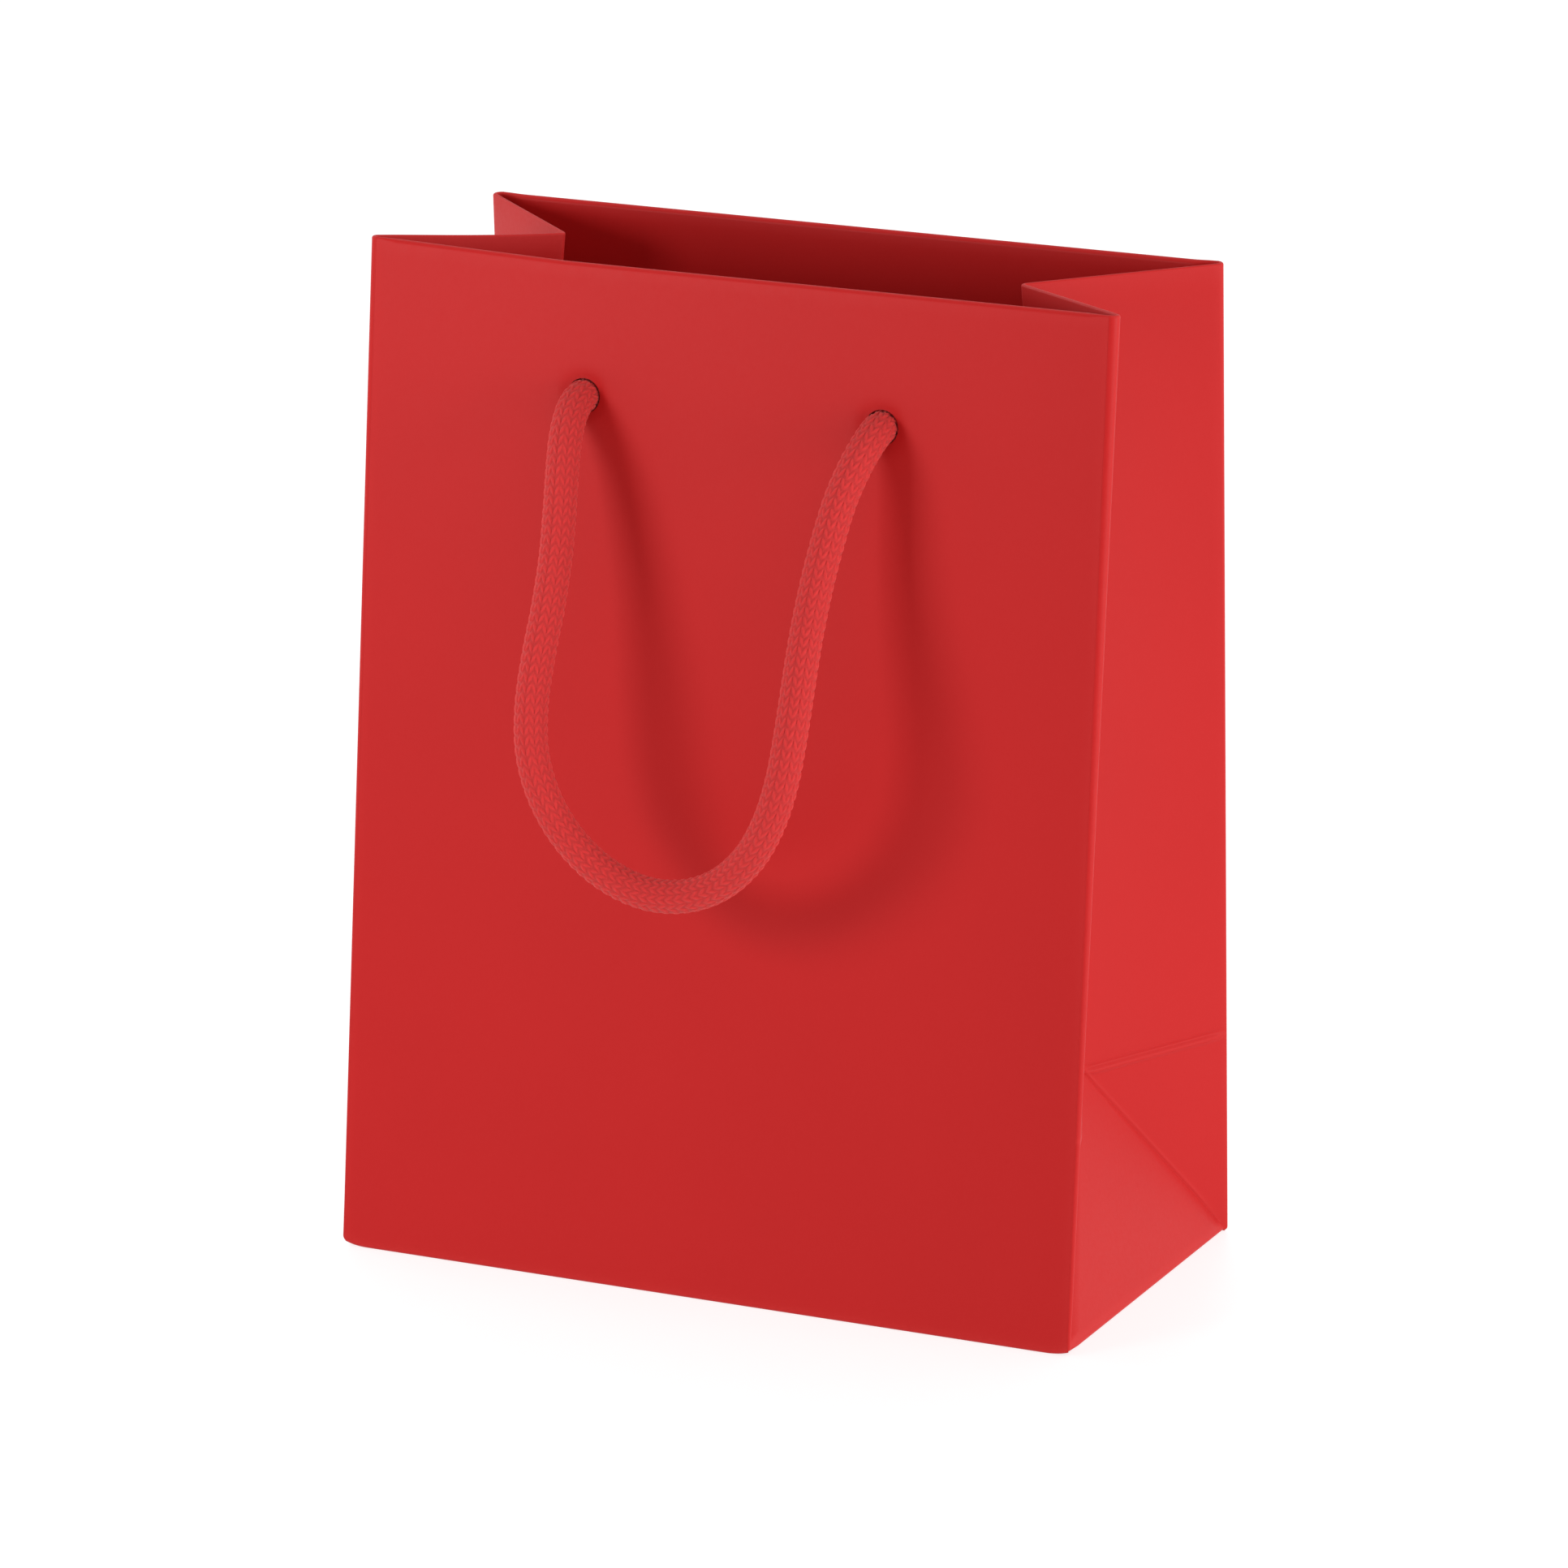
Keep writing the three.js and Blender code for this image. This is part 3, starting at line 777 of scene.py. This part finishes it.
def half_surface(fold, paper, mirrored):
    """Middle surface of one gusset half with its foot and hem, as rows of points, and its wear with
    a painted fold highlight.

    A row goes round the upright fold, straight across to the middle fold, then round that.
    """
    heights, middles, radii, inward, stage = half_rows(fold, paper, mirrored)
    round_radius, corner, middle, facing = half_frames(heights, middles, radii, paper)
    start = -np.pi / 2
    first = np.linspace(0, 1, CORNER_STEPS + 1)[None, :]
    flat = FLAT_SHARES[None, 1:-1]
    last = np.linspace(0, 1, MIDDLE_STEPS + 1)[None, :]
    turns = [start + (facing[:, None] - start) * first, facing[:, None] * (1 - last)]
    outward = [np.stack([np.cos(turn), np.sin(turn)], axis=-1) for turn in turns]
    at_corner = corner[:, None] + (round_radius - inward)[:, None, None] * outward[0]
    at_middle = middle[:, None] - (radii + inward)[:, None, None] * outward[1]
    run = at_corner[:, -1:] + (at_middle[:, :1] - at_corner[:, -1:]) * flat[..., None]
    plan = np.concatenate([at_corner, run, at_middle], axis=1)
    steps = np.linalg.norm(np.diff(plan, axis=1), axis=2)
    walked = np.concatenate([np.zeros((len(plan), 1)), np.cumsum(steps, axis=1)], axis=1)
    share = walked / walked[:, -1:]
    z = heights[:, None] + (middles[:, 2] - heights)[:, None] * share
    points = np.concatenate([plan, z[..., None]], axis=2)
    from_crease = heights - CREASE_HEIGHT
    fade = smoothstep(share, 0.02, 0.10) * (1 - smoothstep(share, 0.93, 1.0))
    high, deep, width = CROSS_CREASE
    ridge = high * np.exp(-((from_crease + width) / width) ** 2)
    groove = deep * np.exp(-((from_crease - width) / width) ** 2)
    ridge = (ridge - groove) * (stage < 2)
    high, away_from_fold, width = DIAGONAL_CREASE
    from_fold = walked[:, -1:] - walked
    seam = high * np.exp(-((from_fold - away_from_fold) / width) ** 2)
    seam = seam * (stage == 0)[:, None] * smoothstep(middles[:, 2], 0.004, 0.010)[:, None]
    normal = np.stack([np.cos(facing), np.sin(facing)], axis=1)
    points[..., :2] += (ridge[:, None] * fade + seam)[..., None] * normal[:, None]
    # creased: wear plus a painted highlight along the upright fold, the middle fold, the cross
    # crease and the rim fold
    at_fold = np.exp(-((walked - walked[:, CORNER_STEPS:CORNER_STEPS + 1] / 2) / 0.0013) ** 2)
    at_inner = np.exp(-(from_fold / 0.0012) ** 2)
    at_crease = np.exp(-(from_crease / 0.0006) ** 2)[:, None] * (stage < 2)[:, None]
    at_rim = (stage == 2)[:, None]
    creased = np.clip(0.35 * at_fold + 0.4 * at_inner + 0.4 * at_crease + 0.4 * at_rim, 0, 1)
    away = np.concatenate([outward[0][0], np.repeat(normal[:1], flat.size, axis=0), outward[1][0]])
    return curled_foot(points, away), np.concatenate([np.repeat(creased[:1], 5, axis=0), creased])


def curled_foot(points, away):
    """Rows added below the first: a quarter circle that rolls the paper under, down to the sole.

    away holds the direction, seen from above, that each point of the first row faces.
    """
    turn = np.linspace(np.pi / 2, 0, 6)[:-1, None]
    radius = (points[0, :, 2] - SOLE)[None, :]
    under = np.repeat(points[:1], 5, axis=0)
    under[..., :2] -= (radius * (1 - np.cos(turn)))[..., None] * away
    under[..., 2] -= radius * np.sin(turn)
    return np.concatenate([under, points])


def placed(points, mirrored, turned):
    """Points and quads of a right-hand front part, mirrored front to back and then turned."""
    faces = grid_faces(*points.shape[:2])
    points = points.reshape(-1, 3)
    if mirrored:
        points, faces = points * np.array([1.0, -1.0, 1.0]), faces[:, ::-1]
    return half_turned(points, turned), faces


def make_half(side, face, paper):
    """One gusset half in one piece of paper."""
    turned = side == "left"
    mirrored = (face == "back") != turned
    points, creased = half_surface(MIDDLE_FOLDS[side], paper, mirrored)
    points, faces = placed(points, mirrored, turned)
    if (side, face) == ("left", "front"):
        points = rim_rise(points, smoothstep(-points[:, 1], 0.0, MOUTH_DEPTH / 2))
    piece = paper_piece(f"{side}_gusset_{face}_paper", points, faces, creased.ravel())
    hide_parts(*[f"{side}_gusset_{face}_{part}" for part in ("half", "foot", "hem")])
    bend_with_wall(piece)


def bend_with_wall(piece):
    """Bakes the piece's placement into its points."""
    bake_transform(piece)


def foot_surface(fold):
    """The foot's middle triangle: level rows between the two diagonals, each end tucked in.

    Below, a quarter circle turns it under the bag. The tucked ends lie half a millimetre behind
    the paper beside them, so that no gap opens as the walls move.
    """
    rise = joined((FIRST_RISE, 0.95, 20), (0.95, 0.998, 4))
    tuck, inset = 0.004, 0.0005
    ends = []
    for side in (-1, 1):
        diagonal = diagonal_points(fold_point(fold, "foot"), side, rise[:, None])
        upright = np.stack([np.full_like(rise, HALF_WIDTH),
                            side * (HALF_DEPTH - diagonal[:, 2] * math.tan(LEAN))], axis=1)
        towards = upright - diagonal[:, :2]
        reach = np.linalg.norm(towards, axis=1, keepdims=True)
        towards /= np.maximum(reach, 1e-9)
        outward = np.stack([-side * towards[:, 1], side * towards[:, 0]], axis=1)
        outward *= np.sign(outward[:, :1])
        behind = outward * inset * np.minimum(1, reach / tuck)
        length = np.minimum(tuck, 0.5 * reach)
        near, far = diagonal.copy(), diagonal.copy()
        near[:, :2] += towards * length * 0.15 - behind
        far[:, :2] += towards * length - behind
        ends.append((far, near, diagonal))
    left, right = ends
    share = np.linspace(0, 1, 17)[None, :, None]
    across = left[2][:, None] + (right[2] - left[2])[:, None] * share
    rows = np.concatenate([left[0][:, None], left[1][:, None], across,
                           right[1][:, None], right[0][:, None]], axis=1)
    return curled_foot(rows, np.array([1.0, 0.0]))


def make_foot(side):
    """The triangle between a gusset's two diagonals, which stays with the base."""
    points, faces = placed(foot_surface(MIDDLE_FOLDS[side]), False, side == "left")
    # a paler line along the bottom crease: wear plus a painted highlight
    creased = 0.5 * np.exp(-((points[:, 2] - BOTTOM_START) / 0.0012) ** 2)
    piece = paper_piece(f"{side}_foot_paper", points, faces, creased)
    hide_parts(f"{side}_gusset_foot")
    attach(piece, "base")


def make_seam_tab(paper):
    """The glued tab inside the upright seam at the back left: an inner strip of that half."""
    width, margin, inward = 0.015, 0.002, 2 * PLAIN_FOLD_RADIUS
    fold = MIDDLE_FOLDS["left"]
    heights, middles, radii, _, stage = half_rows(fold, paper, False)
    keep = (stage == 1) & (heights > CREASE_HEIGHT + 0.003) & (heights < RIM_HEIGHT - 0.038)
    heights, middles, radii = heights[keep], middles[keep], radii[keep]
    round_radius, corner, _, facing = half_frames(heights, middles, radii, paper)
    outward = np.stack([np.cos(facing), np.sin(facing)], axis=1)
    along = np.stack([-outward[:, 1], outward[:, 0]], axis=1)
    start = corner + (round_radius - inward)[:, None] * outward
    reach = np.linspace(margin, margin + width, 9)
    plan = start[:, None] + along[:, None] * reach[None, :, None]
    levels = np.broadcast_to(heights[:, None, None], plan.shape[:2] + (1,))
    points = np.concatenate([plan, levels], axis=2)
    points, faces = placed(points, False, True)
    piece = paper_piece("seam_tab_paper", points, faces, np.zeros(len(points)))
    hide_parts("seam_tab")
    bend_with_wall(piece)


# ---- base ----
def long_flap(overlap):
    """A glued flap under the front, narrowing at 45 degrees; overlap raises its far end."""
    start, reach = HALF_DEPTH - BOTTOM_RADIUS - 0.0004, 0.060
    away = joined((0, 0.030, 8), (0.030, 0.042, 8), (0.042, reach - BOTTOM_RADIUS, 5))[:, None]
    across = (HALF_WIDTH - 0.0012 - away) * np.linspace(-1, 1, 25)
    level = PAPER / 2 + overlap * smoothstep(away, 0.030, 0.038)
    return np.stack(np.broadcast_arrays(across, away - start, level), axis=-1)


def side_flap():
    """A short flap folded in from the right-hand foot, lying on the long ones."""
    start = HALF_WIDTH - 0.0018
    away = joined((0, 0.008, 8), (0.008, 0.036, 8))[:, None]
    across = (0.0425 - 0.1 * away) * np.linspace(-1, 1, 13)
    level = 0.0003 + 0.0012 * smoothstep(away, 0.0, 0.006)
    return np.stack(np.broadcast_arrays(start - away, across, level), axis=-1)


def make_base():
    """The four glued flaps."""
    for name, flap in (("front", long_flap(2 * PLAIN_FOLD_RADIUS)), ("back", long_flap(0.0)),
                       ("right", side_flap()), ("left", side_flap())):
        points, faces = placed(flap, False, name in ("back", "left"))
        piece = paper_piece(f"base_flap_{name}_paper", points, faces, np.zeros(len(points)))
        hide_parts(f"base_flap_{name}")
        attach(piece, "base")


# ---- studio ----
FLOOR_HALF = 6.0


def make_camera(studio):
    """A long lens at the set azimuth, elevation and roll, looking at the bag's middle."""
    azimuth, level = studio.azimuth, math.cos(studio.elevation)
    right = Vector((math.cos(azimuth), math.sin(azimuth), 0))
    back = Vector((math.sin(azimuth) * level, -math.cos(azimuth) * level,
                   math.sin(studio.elevation)))
    up = back.cross(right)
    target = Vector((-0.0018, 0.0, 0.1082))
    turn = Matrix((right, up, back)).transposed().to_4x4() @ Matrix.Rotation(studio.roll, 4, "Z")
    data = bpy.data.cameras.new("camera")
    data.lens = studio.lens
    data.sensor_width = 36.0
    data.clip_start, data.clip_end = 0.1, 20.0
    camera = bpy.data.objects.new("camera", data)
    camera.matrix_world = Matrix.Translation(target + back * studio.distance) @ turn
    bpy.context.scene.collection.objects.link(camera)
    bpy.context.scene.camera = camera


def add_light(name, place, size, power):
    """A square soft light that faces the bag's middle."""
    data = bpy.data.lights.new(name, "AREA")
    data.shape, data.size, data.energy = "SQUARE", size, power
    light = bpy.data.objects.new(name, data)
    place, aim = Vector(place), Vector((0.0, 0.0, 0.12))
    turn = (place - aim).to_track_quat("Z", "Y").to_matrix().to_4x4()
    light.matrix_world = Matrix.Translation(place) @ turn
    bpy.context.scene.collection.objects.link(light)


def make_surroundings(scene, studio):
    """White surroundings, dimmer round one direction on the front left."""
    world = scene.world or bpy.data.worlds.new("studio_world")
    scene.world = world
    world.use_nodes = True
    nodes = Nodes(world.node_tree)
    direction = nodes.node("ShaderNodeTexCoord").outputs["Generated"]
    dim_way = Vector((-0.50, -0.85, 0.0)).normalized()
    towards = nodes.maths("DOT_PRODUCT", direction, dim_way, "ShaderNodeVectorMath")
    lit = nodes.between(towards, 0.95, 0.05, studio.dim_surround, studio.bright_surround,
                        "SMOOTHSTEP")
    seen = nodes.node("ShaderNodeLightPath").outputs["Is Camera Ray"]
    strength = nodes.node("ShaderNodeMix", Factor=seen, A=lit, B=1.02).outputs[0]
    sky = world.node_tree.nodes["Background"]
    nodes.set_input(sky, "Color", (1, 1, 1, 1))
    nodes.set_input(sky, "Strength", strength)


def make_studio(scene):
    """White surroundings, a white floor and three soft lights."""
    studio = scene.gift_bag_studio
    scene.view_settings.view_transform = "Standard"
    scene.view_settings.look = "None"
    make_surroundings(scene, studio)
    corners = FLOOR_HALF * np.array([(-1, -1, 0), (1, -1, 0), (1, 1, 0), (-1, 1, 0)])
    floor = new_piece("floor", corners, [(0, 1, 2, 3)])
    floor.data.materials.append(make_floor_finish())
    add_light("key_light", (-0.33, -0.62, 0.32), 0.24, studio.key_power)
    add_light("side_light", (1.50, -0.12, 0.26), 0.9, studio.side_power)
    add_light("left_light", (-1.3, 0.1, 0.75), 0.8, studio.left_power)


# ---- operators ----
class BagOperator:
    """What every operator of the bag shares."""

    bl_options = {"REGISTER", "UNDO"}


class GIFTBAG_OT_camera(BagOperator, bpy.types.Operator):
    """Place the camera"""

    bl_idname = "giftbag.camera"
    bl_label = "Place Camera"

    def execute(self, context):
        make_camera(context.scene.gift_bag_studio)
        return {"FINISHED"}


class GIFTBAG_OT_materials(BagOperator, bpy.types.Operator):
    """Make the paper, rope and card finishes, and give the card nodes theirs"""

    bl_idname = "giftbag.materials"
    bl_label = "Make Finishes"

    def execute(self, context):
        make_paper_finish(context.scene.gift_bag_paper)
        make_rope_finish(context.scene.gift_bag_rope)
        card = make_card_finish()
        for name in ("front_rim_board", "back_rim_board", "base_board"):
            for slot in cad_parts[name].material_slots:
                slot.link = "OBJECT"
                slot.material = card
        return {"FINISHED"}


class GIFTBAG_OT_handles(BagOperator, bpy.types.Operator):
    """Make the two rope handles and the knots that hold them"""

    bl_idname = "giftbag.handles"
    bl_label = "Make Rope Handles"

    def execute(self, context):
        rope = context.scene.gift_bag_rope
        for wall, turned in (("front", False), ("back", True)):
            piece, route, exit_point = make_handle(wall, turned, rope)
            knots = [part for side in ("right", "left")
                     for part in make_knot(wall, side, turned, rope)]
        return {"FINISHED"}


class GIFTBAG_OT_walls(BagOperator, bpy.types.Operator):
    """Make the front and back walls with their hems"""

    bl_idname = "giftbag.walls"
    bl_label = "Make Walls"

    def execute(self, context):
        make_wall("front", False, context.scene.gift_bag_paper)
        make_wall("back", True, context.scene.gift_bag_paper)
        return {"FINISHED"}


class GIFTBAG_OT_gussets(BagOperator, bpy.types.Operator):
    """Make the folded gussets with their feet and the seam tab"""

    bl_idname = "giftbag.gussets"
    bl_label = "Make Gussets"

    def execute(self, context):
        for side in ("right", "left"):
            for face in ("front", "back"):
                make_half(side, face, context.scene.gift_bag_paper)
            make_foot(side)
        make_seam_tab(context.scene.gift_bag_paper)
        return {"FINISHED"}


class GIFTBAG_OT_base(BagOperator, bpy.types.Operator):
    """Make the glued flaps of the base"""

    bl_idname = "giftbag.base"
    bl_label = "Make Base"

    def execute(self, context):
        make_base()
        return {"FINISHED"}


class GIFTBAG_OT_stage(BagOperator, bpy.types.Operator):
    """Make the floor, the surroundings and the lights"""

    bl_idname = "giftbag.stage"
    bl_label = "Make Stage"

    def execute(self, context):
        make_studio(context.scene)
        return {"FINISHED"}


class GIFTBAG_PT_panel(bpy.types.Panel):
    """Lists the bag's operators and sizes"""

    bl_idname = "GIFTBAG_PT_panel"
    bl_label = "Gift Bag"
    bl_space_type = "VIEW_3D"
    bl_region_type = "UI"
    bl_category = "Gift Bag"

    def draw(self, context):
        for operator in OPERATORS:
            self.layout.operator(operator.bl_idname)
        for group_name in GROUPS:
            group = getattr(context.scene, group_name)
            box = self.layout.box()
            for name in group.bl_rna.properties.keys():
                if name not in ("rna_type", "name"):
                    box.prop(group, name)


OPERATORS = (GIFTBAG_OT_camera, GIFTBAG_OT_materials, GIFTBAG_OT_handles, GIFTBAG_OT_walls,
             GIFTBAG_OT_gussets, GIFTBAG_OT_base, GIFTBAG_OT_stage)
GROUPS = {"gift_bag_paper": GiftBagPaper, "gift_bag_rope": GiftBagRope,
          "gift_bag_studio": GiftBagStudio}


def register():
    for made in (*GROUPS.values(), *OPERATORS, GIFTBAG_PT_panel):
        bpy.utils.register_class(made)
    for name, group in GROUPS.items():
        setattr(bpy.types.Scene, name, bpy.props.PointerProperty(type=group))


def unregister():
    for name in GROUPS:
        delattr(bpy.types.Scene, name)
    for made in (GIFTBAG_PT_panel, *reversed(OPERATORS), *reversed(GROUPS.values())):
        bpy.utils.unregister_class(made)


def main():
    """Makes every piece in turn."""
    register()
    for operator in OPERATORS:
        group, name = operator.bl_idname.split(".")
        getattr(getattr(bpy.ops, group), name)()


if __name__ == "__main__":
    main()
